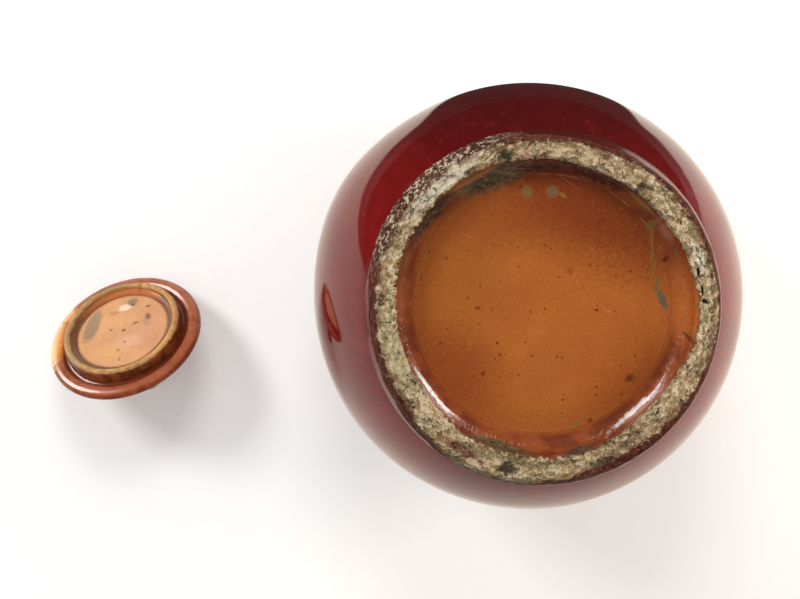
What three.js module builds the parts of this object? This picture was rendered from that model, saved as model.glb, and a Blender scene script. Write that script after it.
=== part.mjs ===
// Squat globular jar with a small lid, glazed stoneware, in millimetres with +Z up.
// The jar is turned over on its mouth, so its foot ring is on top. The lid lies beside it,
// underside up, and rests on its knob and on one point of its brim.
import * as THREE from 'three';

// Driving dimensions of the jar
const belly_radius = 110;
const jar_height = 184;
const belly_level = 101;
const wall = 7;
const foot_face_radius = 79.4;
const foot_face_width = 10.8;
const foot_flare = 3.6;
const foot_rounding = 2;
const recess_depth = 13;
const recess_lean = 0.4;
const recess_cove = 8;
const dish_wall = 3;
const dish_rim_drop = 1.2;
const base_thickness = 8;
const mouth_inner_radius = 35;
const neck_radius = 39.5;
const neck_height = 13;
const lip_radius = 44;
const lip_height = 5;

// Driving dimensions of the lid
const brim_radius = 44.8;
const brim_edge_radius = 1.6;
const collar_width = 4;
const collar_height = 8.3;
const groove_depth = 1;
const groove_width = 2.2;
const bead_height = 2.2;
const disc_inset = 7;
const disc_rise = 4.2;
const dome_height = 18;
const dome_top_radius = 7.5;
const knob_radius = 9;
const knob_centre_depth = 38.2;
const knob_stem_radius = 5.6;

// Fits and places
const collar_clearance = 1;
const joint_gap = 0.3;
const edge_rounding = 1.5;
const lid_offset_x = -222.7;
const lid_offset_y = -27.9;
const lid_facing_angle = THREE.MathUtils.degToRad(104.4);

// Fineness of the facets
const jar_sides = 48;
const lid_sides = 36;
const belly_steps = 9;
const corner_steps = 3;

// Angles in degrees at which the curves of the brim begin and end, counted up from the brim plane
const dome_end_angle = -20;
const brim_start_angle = -45;
const brim_end_angle = 30;
const bead_start_angle = 35;

const collar_radius = mouth_inner_radius - collar_clearance;
const recess_level = jar_height - recess_depth;
const foot_root_radius = foot_face_radius + foot_flare;
const recess_top_radius = foot_face_radius - foot_face_width;
const recess_radius = recess_top_radius - recess_lean;

const oxblood = { color: 0x5c1114, roughness: 0.12, metalness: 0 };
const bare_clay = { color: 0xa08c70, roughness: 0.9, metalness: 0 };
const amber = { color: 0x8a4a1c, roughness: 0.15, metalness: 0 };
const tan_clay = { color: 0xb08d70, roughness: 0.8, metalness: 0 };

// Points of an elliptic arc in the half plane of radius and height, both ends included
function arc(centre_r, centre_z, half_r, half_z, from_degrees, to_degrees, steps) {
  return Array.from({ length: steps + 1 }, (_, index) => {
    const share = index / steps;
    const angle = THREE.MathUtils.degToRad(from_degrees + (to_degrees - from_degrees) * share);
    return point(centre_r + half_r * Math.cos(angle), centre_z + half_z * Math.sin(angle));
  });
}

function point(radius, height) {
  return new THREE.Vector2(radius, height);
}

// Angle on an ellipse, in degrees from its widest level, where it has the given radius
function angle_at_radius(radius, half_r) {
  return THREE.MathUtils.radToDeg(Math.acos(radius / half_r));
}

// Half height that an ellipse needs to pass from its widest radius to another one
function half_height_through(radius, rise, half_r) {
  return rise / Math.sqrt(1 - (radius / half_r) ** 2);
}

// Turns an outline about the Z axis. The outline runs up outside and down inside.
function turned(name, outline, sides, look) {
  const geometry = new THREE.LatheGeometry(outline, sides);
  geometry.rotateX(Math.PI / 2);
  const mesh = new THREE.Mesh(geometry, new THREE.MeshStandardMaterial(look));
  mesh.name = name;
  return mesh;
}

// A closed outline repeats its first point at its end
function closed(outline) {
  return [...outline, outline[0].clone()];
}

// Wall of the recess, as its radius at a height. It leans out towards the rim.
function slope_radius(height) {
  return recess_radius + recess_lean * (height - recess_level) / recess_depth;
}

// Ring that the jar stands on in use. Its inner wall follows the outside of the glazed dish.
function foot_ring() {
  const root = recess_level + joint_gap;
  const inset = foot_rounding;
  const clear = dish_wall + joint_gap;
  const face_level = jar_height - inset;
  const outline = closed([
    point(foot_root_radius, root),
    ...arc(foot_face_radius - inset, face_level, inset, inset, 0, 90, corner_steps),
    point(recess_top_radius + clear + edge_rounding, jar_height),
    point(recess_top_radius + clear, jar_height - edge_rounding),
    point(slope_radius(root) + clear, root),
  ]);
  return turned('foot_ring', outline, jar_sides, bare_clay);
}

// Glazed dish inside the foot ring: the base, a wide cove and the wall of the recess
function base_dish() {
  const underside = recess_level - base_thickness;
  const rim = jar_height - dish_rim_drop;
  const cove_level = recess_level + recess_cove;
  const cove_radius = slope_radius(cove_level) - recess_cove;
  const outline = [
    point(0, underside),
    point(recess_radius + dish_wall, underside),
    point(recess_radius + dish_wall, recess_level),
    point(slope_radius(rim) + dish_wall, rim),
    point(slope_radius(rim), rim),
    ...arc(cove_radius, cove_level, recess_cove, recess_cove, 0, -90, 2 * corner_steps),
    point(0, recess_level),
  ];
  return turned('base_dish', outline, jar_sides, amber);
}

// The half of the body that carries the foot, from the belly seam up to the foot ring
function body_lower() {
  const seam = belly_level + joint_gap / 2;
  const half_z = half_height_through(foot_root_radius, recess_level - belly_level, belly_radius);
  const inner_half_r = belly_radius - wall;
  const inner_half_z = half_z - wall;
  const floor_underside = recess_level - base_thickness;
  const opening = recess_radius + dish_wall + joint_gap;
  const sine = (floor_underside - belly_level) / inner_half_z;
  const inner_end = THREE.MathUtils.radToDeg(Math.asin(sine));
  const outer_end = angle_at_radius(foot_root_radius, belly_radius);
  const outline = closed([
    point(belly_radius, seam),
    ...arc(0, belly_level, belly_radius, half_z, 0, outer_end, belly_steps).slice(1),
    point(opening, recess_level),
    point(opening, floor_underside),
    ...arc(0, belly_level, inner_half_r, inner_half_z, inner_end, 0, belly_steps).slice(0, -1),
    point(inner_half_r, seam),
  ]);
  return turned('body_lower', outline, jar_sides, oxblood);
}

// The half of the body that carries the neck, from the neck up to the belly seam
function body_upper() {
  const seam = belly_level - joint_gap / 2;
  const root = neck_height + joint_gap;
  const half_z = half_height_through(neck_radius, belly_level - root, belly_radius);
  const inner_half_r = belly_radius - wall;
  const inner_half_z = half_z - wall;
  const outer_start = angle_at_radius(neck_radius, belly_radius);
  const inner_start = angle_at_radius(mouth_inner_radius, inner_half_r);
  const outline = closed([
    ...arc(0, belly_level, belly_radius, half_z, -outer_start, 0, belly_steps).slice(0, -1),
    point(belly_radius, seam),
    point(inner_half_r, seam),
    ...arc(0, belly_level, inner_half_r, inner_half_z, 0, -inner_start, belly_steps).slice(1),
    point(mouth_inner_radius, root),
  ]);
  return turned('body_upper', outline, jar_sides, oxblood);
}

// Short neck with a rolled lip. The jar stands on the flat end of the lip.
function neck_and_lip() {
  const half = lip_height / 2;
  const outline = closed([
    point(mouth_inner_radius + edge_rounding, 0),
    ...arc(lip_radius - half, half, half, half, -90, 90, 2 * corner_steps),
    point(neck_radius, lip_height + edge_rounding),
    point(neck_radius, neck_height),
    point(mouth_inner_radius, neck_height),
    point(mouth_inner_radius, edge_rounding),
  ]);
  return turned('neck_and_lip', outline, jar_sides, oxblood);
}

// Domed top of the lid with its brim, drawn with the underside up and the brim plane at zero.
// A bead runs round the brim, with a groove between it and the collar.
function lid_dome() {
  const edge = brim_edge_radius;
  const dome_half_r = brim_radius - edge;
  const top_angle = angle_at_radius(dome_top_radius, dome_half_r);
  const dome_half_z = dome_height / Math.sin(THREE.MathUtils.degToRad(top_angle));
  const seat_radius = collar_radius + joint_gap;
  const groove_end = seat_radius + groove_width;
  const bead_half = (brim_radius - groove_end) / 2;
  const bead_middle = groove_end + bead_half;
  const outline = [
    point(0, -dome_height),
    ...arc(0, 0, dome_half_r, dome_half_z, -top_angle, dome_end_angle, belly_steps),
    ...arc(brim_radius - edge, -edge, edge, edge, brim_start_angle, brim_end_angle, corner_steps),
    ...arc(bead_middle, -groove_depth, bead_half, bead_height, bead_start_angle, 180, 2 * corner_steps),
    point(seat_radius, -groove_depth),
    point(seat_radius, -edge),
    point(0, -edge),
  ];
  return turned('lid_dome', outline, lid_sides, amber);
}

// Collar that drops into the mouth of the jar and keeps the lid centred
function lid_collar() {
  const root = joint_gap - brim_edge_radius;
  const inset = collar_width / 2;
  const inner_root = collar_radius - disc_inset + joint_gap;
  const top = collar_height - inset;
  const outline = closed([
    point(inner_root, root),
    point(collar_radius, root),
    ...arc(collar_radius - inset, top, inset, inset, 0, 180, 2 * corner_steps),
    point(inner_root, disc_rise + joint_gap),
  ]);
  return turned('lid_collar', outline, lid_sides, bare_clay);
}

// Bare clay disc that floors the hollow inside the collar
function lid_disc() {
  const radius = collar_radius - disc_inset;
  const root = joint_gap - brim_edge_radius;
  const outline = [point(0, root), point(radius, root), point(radius, disc_rise), point(0, disc_rise)];
  return turned('lid_disc', outline, lid_sides, tan_clay);
}

// Knob on the crown of the lid: a short stem and a round bud
function lid_knob() {
  const stem_end = -dome_height - joint_gap;
  const meet = Math.acos(knob_stem_radius / knob_radius);
  const meet_degrees = THREE.MathUtils.radToDeg(meet);
  const outline = [
    ...arc(0, -knob_centre_depth, knob_radius, knob_radius, -90, meet_degrees, belly_steps),
    point(knob_stem_radius, stem_end - edge_rounding),
    point(dome_top_radius - joint_gap, stem_end),
    point(0, stem_end),
  ];
  return turned('lid_knob', outline, lid_sides, amber);
}

// Tilt of the lid at which the knob and the rounded brim edge both touch the table
function lid_tilt() {
  const reach = brim_radius - brim_edge_radius;
  const depth = knob_centre_depth - brim_edge_radius;
  const extra = knob_radius - brim_edge_radius;
  return Math.atan2(depth, reach) + Math.asin(extra / Math.hypot(reach, depth));
}

const jar = new THREE.Group();
jar.add(foot_ring(), base_dish(), body_lower(), body_upper(), neck_and_lip());

const lid = new THREE.Group();
const tilt = lid_tilt();
const tilt_axis = new THREE.Vector3(-Math.sin(lid_facing_angle), Math.cos(lid_facing_angle), 0);
lid.add(lid_dome(), lid_collar(), lid_disc(), lid_knob());
lid.quaternion.setFromAxisAngle(tilt_axis, tilt);
lid.position.set(lid_offset_x, lid_offset_y, 0);

// The lid comes down until its lowest point is on the table
const lid_box = new THREE.Box3().setFromObject(lid, true);
lid.position.z = -lid_box.min.z;

// The origin is under the middle of the whole set, on the table
const set = new THREE.Group();
set.add(jar, lid);
const set_box = new THREE.Box3().setFromObject(set, true);
const middle = set_box.getCenter(new THREE.Vector3());
set.position.set(-middle.x, -middle.y, -set_box.min.z);

export default set;
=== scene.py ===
"""Squat globular jar in an oxblood glaze, turned over on its mouth, with its small lid lying beside it.

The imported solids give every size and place. This file adds the fired surfaces: the thick glossy glaze of the
body, the amber glaze of the recessed base, the crust of kiln grit on the foot ring and the worn lid.
"""

import math

import bpy
from mathutils import Matrix, Vector, noise


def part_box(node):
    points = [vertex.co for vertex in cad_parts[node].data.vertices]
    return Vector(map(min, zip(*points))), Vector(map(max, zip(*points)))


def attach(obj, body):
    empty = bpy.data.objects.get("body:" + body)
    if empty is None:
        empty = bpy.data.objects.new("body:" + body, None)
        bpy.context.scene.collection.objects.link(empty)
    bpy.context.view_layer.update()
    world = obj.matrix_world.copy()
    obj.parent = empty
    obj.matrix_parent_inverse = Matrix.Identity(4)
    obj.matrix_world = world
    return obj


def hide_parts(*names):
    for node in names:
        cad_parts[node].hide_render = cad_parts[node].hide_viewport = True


bl_info = {
    "name": "Turned Over Globular Jar",
    "version": (1, 1, 0),
    "blender": (4, 5, 0),
    "location": "View3D > Sidebar > Jar",
    "description": "Builds a glazed globular jar on its mouth, with its lid underside up beside it",
    "category": "Object",
}

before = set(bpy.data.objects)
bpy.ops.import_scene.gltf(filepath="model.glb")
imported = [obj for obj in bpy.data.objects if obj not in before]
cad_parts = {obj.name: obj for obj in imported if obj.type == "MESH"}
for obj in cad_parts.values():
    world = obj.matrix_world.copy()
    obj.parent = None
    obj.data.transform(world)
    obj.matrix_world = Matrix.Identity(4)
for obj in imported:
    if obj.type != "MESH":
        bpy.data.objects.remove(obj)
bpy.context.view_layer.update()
MM = 0.001

# Width of the picture in pixels and the focal length in pixels that its perspective gives
PHOTO_WIDTH = 800
FOCAL_PIXELS = 1200
SENSOR_WIDTH = 36.0


def box_size(node):
    """Size of a node's box at rest, as a vector."""
    low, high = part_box(node)
    return Vector(high) - Vector(low)


def jar_axis():
    """Where the jar's upright axis meets the table."""
    low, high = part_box("foot_ring")
    return Vector(((low[0] + high[0]) / 2, (low[1] + high[1]) / 2, 0.0))


def middle_of(node):
    """Mean place of a turned node's vertices, which lies on its axis."""
    points = [vertex.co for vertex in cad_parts[node].data.vertices]
    return sum(points, Vector()) / len(points)


def floor_level():
    """Level of the recess's floor, which is the highest point of the base on the jar's axis."""
    points = [vertex.co - JAR_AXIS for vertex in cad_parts["base_dish"].data.vertices]
    return max(place.z for place in points if math.hypot(place.x, place.y) < 0.1 * MM)


JAR_AXIS = jar_axis()
BELLY_RADIUS = box_size("body_lower").y / 2
BELLY_LEVEL = (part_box("body_lower")[0][2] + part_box("body_upper")[1][2]) / 2
JAR_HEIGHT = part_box("foot_ring")[1][2]
FOOT_ROOT_RADIUS = box_size("foot_ring").y / 2
FOOT_ROOT_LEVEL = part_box("foot_ring")[0][2]
BASE_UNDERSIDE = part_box("base_dish")[0][2]
LIP_RADIUS = box_size("neck_and_lip").y / 2
NECK_HEIGHT = box_size("neck_and_lip").z
BASE_LEVEL = floor_level()

# Radius in the middle of the foot ring's face, at which flakes keep their size
RING_MIDDLE = 75 * MM

# The recess was cut a little off the jar's axis, and the body swells out towards one side
RECESS_OFFSET = Vector((-0.8, 2.0, 0.0)) * MM
SWELLING_TURN = math.radians(150)
SWELLING_HALF_TURN = math.radians(20)

# Wall of the glazed dish and the gap left between neighbouring pieces
DISH_WALL = 3 * MM
SEAM = 0.2 * MM

# Profile of the ridge at the edge of the recess's floor, in millimetres inward and up
TOOL_RIDGE = ((-0.35, 0.02), (-0.55, 0.1), (-0.75, 0.14), (-0.95, 0.1), (-1.15, 0.02))


def linear(red, green, blue):
    """Linear colour from the 0 to 255 values that a screen shows."""
    def straight(value):
        share = value / 255
        return share / 12.92 if share <= 0.04045 else ((share + 0.055) / 1.055) ** 2.4
    return (straight(red), straight(green), straight(blue), 1.0)


def length_prop(name, description, millimetres):
    """A length that the panel shows, given in millimetres."""
    return bpy.props.FloatProperty(
        name=name, description=description, default=millimetres * MM, unit="LENGTH"
    )


def colour_prop(name, description, red, green, blue):
    """A colour that the panel shows, given as a screen shows it."""
    colour = linear(red, green, blue)
    return bpy.props.FloatVectorProperty(
        name=name, description=description, default=colour, size=4, min=0, max=1, subtype="COLOR"
    )


class JarSizes(bpy.types.PropertyGroup):
    """Sizes of the jar that the solids don't say by their boxes alone."""

    wall: length_prop("Wall", "Thickness of the body's wall", 7)
    swelling: length_prop("Swelling", "How far the hand thrown body swells out at one side", 2.3)
    foot_face_radius: length_prop("Foot radius", "Outer radius of the foot ring's face", 79.4)
    foot_rounding: length_prop("Foot rounding", "Rounding of the foot ring's outer edge", 2)
    recess_top_radius: length_prop("Recess top", "Radius of the recess at its rim", 68.6)
    recess_radius: length_prop("Recess", "Radius of the recess's wall at its floor", 68.2)
    recess_cove: length_prop("Cove", "Radius of the corner between the recess's wall and floor", 8)
    glaze_rim: length_prop("Glaze rim", "Outer radius of the glaze that runs under the crust", 72.6)
    mouth_radius: length_prop("Mouth radius", "Inner radius of the mouth", 35)
    neck_radius: length_prop("Neck radius", "Outer radius of the neck", 39.5)
    crust: length_prop("Crust", "Thickness of the kiln crust on the foot ring", 0.75)
    grit: length_prop("Grit", "Depth of the cracks in the kiln crust", 0.6)


class LidSizes(bpy.types.PropertyGroup):
    """Sizes of the lid, measured from its brim plane."""

    brim_radius: length_prop("Brim radius", "Outer radius of the brim", 44.65)
    brim_edge: length_prop("Brim edge", "Rounding of the brim's edge", 1.6)
    collar_radius: length_prop("Collar radius", "Outer radius of the collar", 34)
    collar_width: length_prop("Collar width", "Width of the collar's rim", 4)
    collar_height: length_prop("Collar height", "Height of the collar", 8.3)
    floor_radius: length_prop("Disc radius", "Radius of the bare disc inside the collar", 27)
    floor_rise: length_prop("Disc height", "Height of the bare disc over the brim plane", 4.2)
    groove_depth: length_prop("Groove depth", "Depth of the groove between the collar and the bead", 1)
    groove_width: length_prop("Groove width", "Width of the groove", 2.2)
    bead_height: length_prop("Bead height", "Height of the bead over the groove", 2.2)
    dome_height: length_prop("Dome height", "Depth of the dome under the brim plane", 18)
    dome_top_radius: length_prop("Dome top", "Radius of the dome where the knob's stem starts", 7.5)
    stem_radius: length_prop("Stem radius", "Radius of the knob's stem", 5.6)
    knob_radius: length_prop("Knob radius", "Radius of the knob's bud", 9)
    knob_depth: length_prop("Knob depth", "Depth of the bud's centre under the brim plane", 38.2)


class Finishes(bpy.types.PropertyGroup):
    """Main colours of the fired surfaces."""

    oxblood: colour_prop("Oxblood", "Copper red glaze of the body", 122, 26, 24)
    amber: colour_prop("Amber", "Amber glaze of the base", 172, 98, 41)
    crust: colour_prop("Crust", "Pale kiln grit on the foot ring", 188, 169, 138)
    lid_glaze: colour_prop("Lid glaze", "Red brown glaze of the lid", 146, 72, 44)
    collar: colour_prop("Collar", "Worn clay on the lid's collar", 196, 150, 92)
    disc: colour_prop("Disc", "Bare clay inside the lid", 212, 156, 106)


def point(radius, height):
    """A point of an outline, as radius and height."""
    return (radius, height)


def arc(centre_r, centre_z, half_r, half_z, start, end, steps):
    """Points of an elliptic arc from one angle to another, in degrees, both ends included."""
    points = []
    for index in range(steps + 1):
        angle = math.radians(start + (end - start) * index / steps)
        points.append(point(centre_r + half_r * math.cos(angle), centre_z + half_z * math.sin(angle)))
    return points


def spaced(outline, spacing):
    """The same outline with extra points, so that no two stand further apart than the spacing."""
    result = []
    for start, end in zip(outline, outline[1:]):
        steps = max(1, math.ceil(math.dist(start, end) / spacing))
        for index in range(steps):
            share = index / steps
            result.append(tuple(a + (b - a) * share for a, b in zip(start, end)))
    result.append(outline[-1])
    return result


# Number of sides of each swept piece, and the radius under which a point counts as on the axis
SIDES = {
    "jar_body": 480, "foot_ring_crusted": 1024, "base_glazed": 320,
    "lid_glazed_dome": 256, "lid_collar_ring": 384, "lid_clay_disc": 192, "lid_knob_bud": 128,
}
ON_AXIS = 1e-7


def swept(name, outline_at, place=None, sharp=50.0):
    """A mesh object swept round the Z axis. Each side has an outline of its own with as many points.

    An outline runs up outside and down inside. One that doesn't start on the axis is closed on itself.
    """
    sides = SIDES[name]
    columns = []
    for side in range(sides):
        angle = 2 * math.pi * side / sides
        columns.append((math.cos(angle), math.sin(angle), outline_at(angle)))
    points = []
    rings = []
    for row, (radius, height) in enumerate(columns[0][2]):
        if radius < ON_AXIS:
            rings.append([len(points)])
            points.append(Vector((0, 0, height)))
            continue
        rings.append(range(len(points), len(points) + sides))
        for cosine, sine, outline in columns:
            radius, height = outline[row][:2]
            points.append(Vector((radius * cosine, radius * sine, height)))
    closes = len(rings[0]) > 1
    faces = []
    for lower, upper in zip(rings, rings[1:] + (rings[:1] if closes else [])):
        for side in range(sides):
            after = (side + 1) % sides
            if len(lower) == 1:
                faces.append((lower[0], upper[after], upper[side]))
            elif len(upper) == 1:
                faces.append((lower[side], lower[after], upper[0]))
            else:
                faces.append((lower[side], lower[after], upper[after], upper[side]))
    mesh = bpy.data.meshes.new(name)
    mesh.from_pydata(points, [], faces)
    mesh.transform(place or Matrix.Translation(JAR_AXIS))
    mesh.update()
    mesh.shade_smooth()
    mesh.set_sharp_from_angle(angle=math.radians(sharp))
    piece = bpy.data.objects.new(name, mesh)
    bpy.context.scene.collection.objects.link(piece)
    return piece


def turned(name, outline, place):
    """A mesh object turned about the Z axis from one outline."""
    return swept(name, lambda angle: outline, place)


def finish_piece(piece, body, nodes, material):
    """Gives a piece its material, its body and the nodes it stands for."""
    piece.data.materials.append(material)
    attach(piece, body)
    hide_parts(*nodes)


class Web:
    """A node tree with short calls to add nodes and join them."""

    def __init__(self, tree):
        self.tree = tree

    def add(self, kind, inputs=None, **settings):
        node = self.tree.nodes.new(kind)
        for key, value in settings.items():
            setattr(node, key, value)
        return self.filled(node, inputs or {})

    def filled(self, node, inputs):
        for key, value in inputs.items():
            self.feed(node.inputs[key], value)
        return node

    def feed(self, socket, value):
        if isinstance(value, bpy.types.NodeSocket):
            self.tree.links.new(value, socket)
        else:
            socket.default_value = value

    def maths(self, operation, *numbers):
        return self.add("ShaderNodeMath", dict(enumerate(numbers)), operation=operation).outputs[0]

    def vector(self, operation, *vectors):
        return self.add("ShaderNodeVectorMath", dict(enumerate(vectors)), operation=operation).outputs

    def split(self, vector):
        """X, Y and Z of a vector."""
        return self.add("ShaderNodeSeparateXYZ", {0: vector}).outputs

    def plus(self, first, second):
        """Sum of two numbers."""
        return self.maths("ADD", first, second)

    def minus(self, first, second):
        """Difference of two numbers."""
        return self.maths("SUBTRACT", first, second)

    def times(self, first, second):
        """Product of two numbers."""
        return self.maths("MULTIPLY", first, second)

    def most(self, first, *others):
        """Greatest of the numbers."""
        for other in others:
            first = self.maths("MAXIMUM", first, other)
        return first

    def blend(self, share, first, second):
        """Colour between two colours, by a share."""
        return self.add("ShaderNodeMix", {0: share, 6: first, 7: second}, data_type="RGBA").outputs[2]

    def tint(self, tone, mask, strength, colour):
        """A colour with another one laid over it where a mask is, at a strength."""
        return self.blend(self.times(mask, strength), tone, colour)

    def between(self, share, first, second):
        """Number between two numbers, by a share."""
        return self.add("ShaderNodeMix", {0: share, 2: first, 3: second}, data_type="FLOAT").outputs[0]

    def window(self, value, low, high, out_low=0.0, out_high=1.0):
        """Value stretched smoothly from one range to another and held at its ends."""
        span = {"Value": value, "From Min": low, "From Max": high, "To Min": out_low, "To Max": out_high}
        return self.add("ShaderNodeMapRange", span, interpolation_type="SMOOTHSTEP").outputs[0]

    def clouds(self, vector, scale, detail=4.0, roughness=0.55, distortion=0.0):
        """Noise from 0 to 1."""
        settings = {"Vector": vector, "Scale": scale, "Detail": detail, "Roughness": roughness}
        return self.add("ShaderNodeTexNoise", {**settings, "Distortion": distortion}).outputs["Fac"]

    def swaying(self, vector, scale, detail, roughness, reach):
        """Noise that sways by half a reach to either side of zero."""
        return self.times(self.minus(self.clouds(vector, scale, detail, roughness), 0.5), reach)

    def cells(self, vector, scale, feature="F1"):
        """Cells of uneven shape."""
        return self.add("ShaderNodeTexVoronoi", {"Vector": vector, "Scale": scale}, feature=feature).outputs

    def stretched(self, vector, scale, turn=0.0):
        """The same place with its axes turned in plan and stretched."""
        settings = {"Vector": vector, "Scale": scale, "Rotation": (0.0, 0.0, turn)}
        return self.add("ShaderNodeMapping", settings).outputs[0]

    def group(self, name, inputs):
        node = self.add("ShaderNodeGroup", node_tree=bpy.data.node_groups[name])
        return self.filled(node, inputs).outputs

    def framed(self, matrix):
        """Place on the piece, in metres of a frame of its own."""
        where = self.add("ShaderNodeTexCoord").outputs["Object"]
        settings = {"Vector": where, "Location": matrix.to_translation(), "Rotation": matrix.to_euler()}
        return self.add("ShaderNodeMapping", settings, vector_type="TEXTURE").outputs[0]

    def attribute(self, name):
        """Number stored on the piece's points."""
        return self.add("ShaderNodeAttribute", attribute_name=name).outputs["Fac"]


def new_effect(name, inputs, *outputs):
    """A node group that takes a vector and named inputs: numbers with a default and vectors without one.

    Returns its web, its inputs and its output node. Its outputs are numbers, but for one named Vector.
    """
    tree = bpy.data.node_groups.new(name, "ShaderNodeTree")

    def socket(label, side, kind):
        return tree.interface.new_socket(name=label, in_out=side, socket_type=kind)
    for label, default in {"Vector": None, **inputs}.items():
        if default is None:
            socket(label, "INPUT", "NodeSocketVector")
        else:
            socket(label, "INPUT", "NodeSocketFloat").default_value = default
    for label in outputs:
        socket(label, "OUTPUT", "NodeSocketVector" if label == "Vector" else "NodeSocketFloat")
    web = Web(tree)
    return web, web.add("NodeGroupInput").outputs, web.add("NodeGroupOutput")


def effect_polar():
    """Distance from the upright axis."""
    web, entry, leave = new_effect("Round the Axis", {}, "Radius")
    flat = web.vector("MULTIPLY", entry["Vector"], (1.0, 1.0, 0.0))[0]
    web.feed(leave.inputs["Radius"], web.vector("LENGTH", flat)["Value"])


def effect_along_ring():
    """Place round the upright axis, stretched along the ring, so that flakes and cracks lie that way."""
    web, entry, leave = new_effect("Along the Ring", {"Stretch": 0.4}, "Vector")
    x, y, z = web.split(entry["Vector"])
    radius = radius_of(web, entry["Vector"])
    shrink = web.maths("DIVIDE", web.times(entry["Stretch"], RING_MIDDLE), radius)
    parts = {0: web.times(x, shrink), 1: web.times(y, shrink), 2: web.plus(radius, z)}
    web.feed(leave.inputs["Vector"], web.add("ShaderNodeCombineXYZ", parts).outputs[0])


def effect_specks():
    """Scattered specks of uneven size."""
    web, entry, leave = new_effect("Kiln Specks", {"Scale": 400.0, "Share": 0.2, "Size": 0.3}, "Mask")
    cells = web.cells(entry["Vector"], entry["Scale"])
    chance = web.add("ShaderNodeSeparateColor", {0: cells["Color"]}).outputs
    chosen = web.maths("LESS_THAN", chance[0], entry["Share"])
    reach = web.times(entry["Size"], web.between(chance[1], 0.3, 1.0))
    ragged = web.swaying(entry["Vector"], web.times(entry["Scale"], 4.0), 2.0, 0.55, 0.25)
    away = web.plus(cells["Distance"], ragged)
    spot = web.window(away, reach, web.times(reach, 0.5))
    web.feed(leave.inputs["Mask"], web.times(chosen, spot))


def effect_crazing():
    """Net of hairline cracks in a glaze."""
    web, entry, leave = new_effect("Crazing", {"Scale": 250.0, "Width": 0.03}, "Mask")
    settings = {"Vector": entry["Vector"], "Scale": 120.0, "Detail": 2.0}
    bend = web.add("ShaderNodeTexNoise", settings).outputs["Color"]
    moved = web.vector("MULTIPLY_ADD", bend, (0.004, 0.004, 0.004), entry["Vector"])[0]
    away = web.cells(moved, entry["Scale"], "DISTANCE_TO_EDGE")["Distance"]
    web.feed(leave.inputs["Mask"], web.window(away, entry["Width"], 0.0))


def effect_blot():
    """One oval mark with a wandering edge, at a place, a turn and a size."""
    oval = {"Place": None, "Turn": None, "Half Size": None, "Edge": 0.25, "Wander": 0.3}
    web, entry, leave = new_effect("Blot", oval, "Mask")
    pairs = (("Vector", "Vector"), ("Location", "Place"), ("Rotation", "Turn"), ("Scale", "Half Size"))
    settings = {key: entry[label] for key, label in pairs}
    local = web.add("ShaderNodeMapping", settings, vector_type="TEXTURE").outputs[0]
    away = web.vector("LENGTH", local)["Value"]
    pushed = web.plus(away, web.swaying(entry["Vector"], 420.0, 3.0, 0.55, entry["Wander"]))
    outer, inner = web.plus(entry["Edge"], 1.0), web.minus(1.0, entry["Edge"])
    web.feed(leave.inputs["Mask"], web.window(pushed, outer, inner))


def effect_orange_peel():
    """Soft unevenness of a thick glaze with the rings that throwing leaves under it, as a height."""
    web, entry, leave = new_effect("Glaze Swell", {"Scale": 40.0, "Rings": 0.3}, "Height")
    broad = web.clouds(entry["Vector"], entry["Scale"], 2.0, 0.35)
    fine = web.clouds(entry["Vector"], web.times(entry["Scale"], 7.0), 2.0, 0.4)
    level = web.stretched(entry["Vector"], (0.06, 0.06, 1.0))
    rings = web.clouds(level, 260.0, 2.0, 0.5)
    height = web.maths("MULTIPLY_ADD", fine, 0.05, broad)
    web.feed(leave.inputs["Height"], web.maths("MULTIPLY_ADD", rings, entry["Rings"], height))


def effect_grit():
    """Rough fired clay: a height of grains, an uneven tone, and dark and light specks."""
    web, entry, leave = new_effect("Fired Grit", {"Scale": 500.0}, "Height", "Tone", "Dark", "Light")
    rough = web.clouds(entry["Vector"], entry["Scale"], 6.0, 0.68)
    grains = web.cells(entry["Vector"], web.times(entry["Scale"], 2.2))["Distance"]
    tone = web.clouds(entry["Vector"], web.times(entry["Scale"], 0.8), 5.0, 0.7)
    fine = web.clouds(entry["Vector"], web.times(entry["Scale"], 2.4), 3.0, 0.7)
    mixed = web.between(0.35, fine, tone)
    web.feed(leave.inputs["Height"], web.minus(rough, web.times(grains, 0.35)))
    web.feed(leave.inputs["Tone"], tone)
    web.feed(leave.inputs["Dark"], web.window(mixed, 0.455, 0.4))
    web.feed(leave.inputs["Light"], web.window(mixed, 0.55, 0.62))


def effect_hairlines():
    """Fine straight scratches that all run one way."""
    web, entry, leave = new_effect("Hairlines", {"Scale": 200.0, "Share": 0.02}, "Mask")
    along = web.stretched(entry["Vector"], (0.05, 1.0, 1.0))
    lines = web.clouds(along, entry["Scale"], 1.0, 0.5)
    near = web.maths("ABSOLUTE", web.minus(lines, 0.5))
    breaks = web.window(web.clouds(entry["Vector"], 45.0, 2.0), 0.5, 0.62)
    web.feed(leave.inputs["Mask"], web.times(web.window(near, entry["Share"], 0.0), breaks))


def make_effects():
    """Builds every shared effect once."""
    for effect in (
        effect_polar, effect_along_ring, effect_specks, effect_crazing,
        effect_blot, effect_orange_peel, effect_grit, effect_hairlines,
    ):
        effect()


def new_material(name):
    """A fresh material, its web and its shader node."""
    material = bpy.data.materials.new(name)
    material.use_nodes = True
    web = Web(material.node_tree)
    shader = material.node_tree.nodes["Principled BSDF"]
    return material, web, shader


def toned(base, red, green, blue):
    """A colour made lighter or darker in each part."""
    return (base[0] * red, base[1] * green, base[2] * blue, 1.0)


def coat(web, shader, tone, rough, height, distance):
    """Feeds a shader its colour, its roughness and a height as its normal."""
    normal = web.add("ShaderNodeBump", {"Height": height, "Distance": distance}).outputs["Normal"]
    web.filled(shader, {"Base Color": tone, "Roughness": rough, "Normal": normal})


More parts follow.
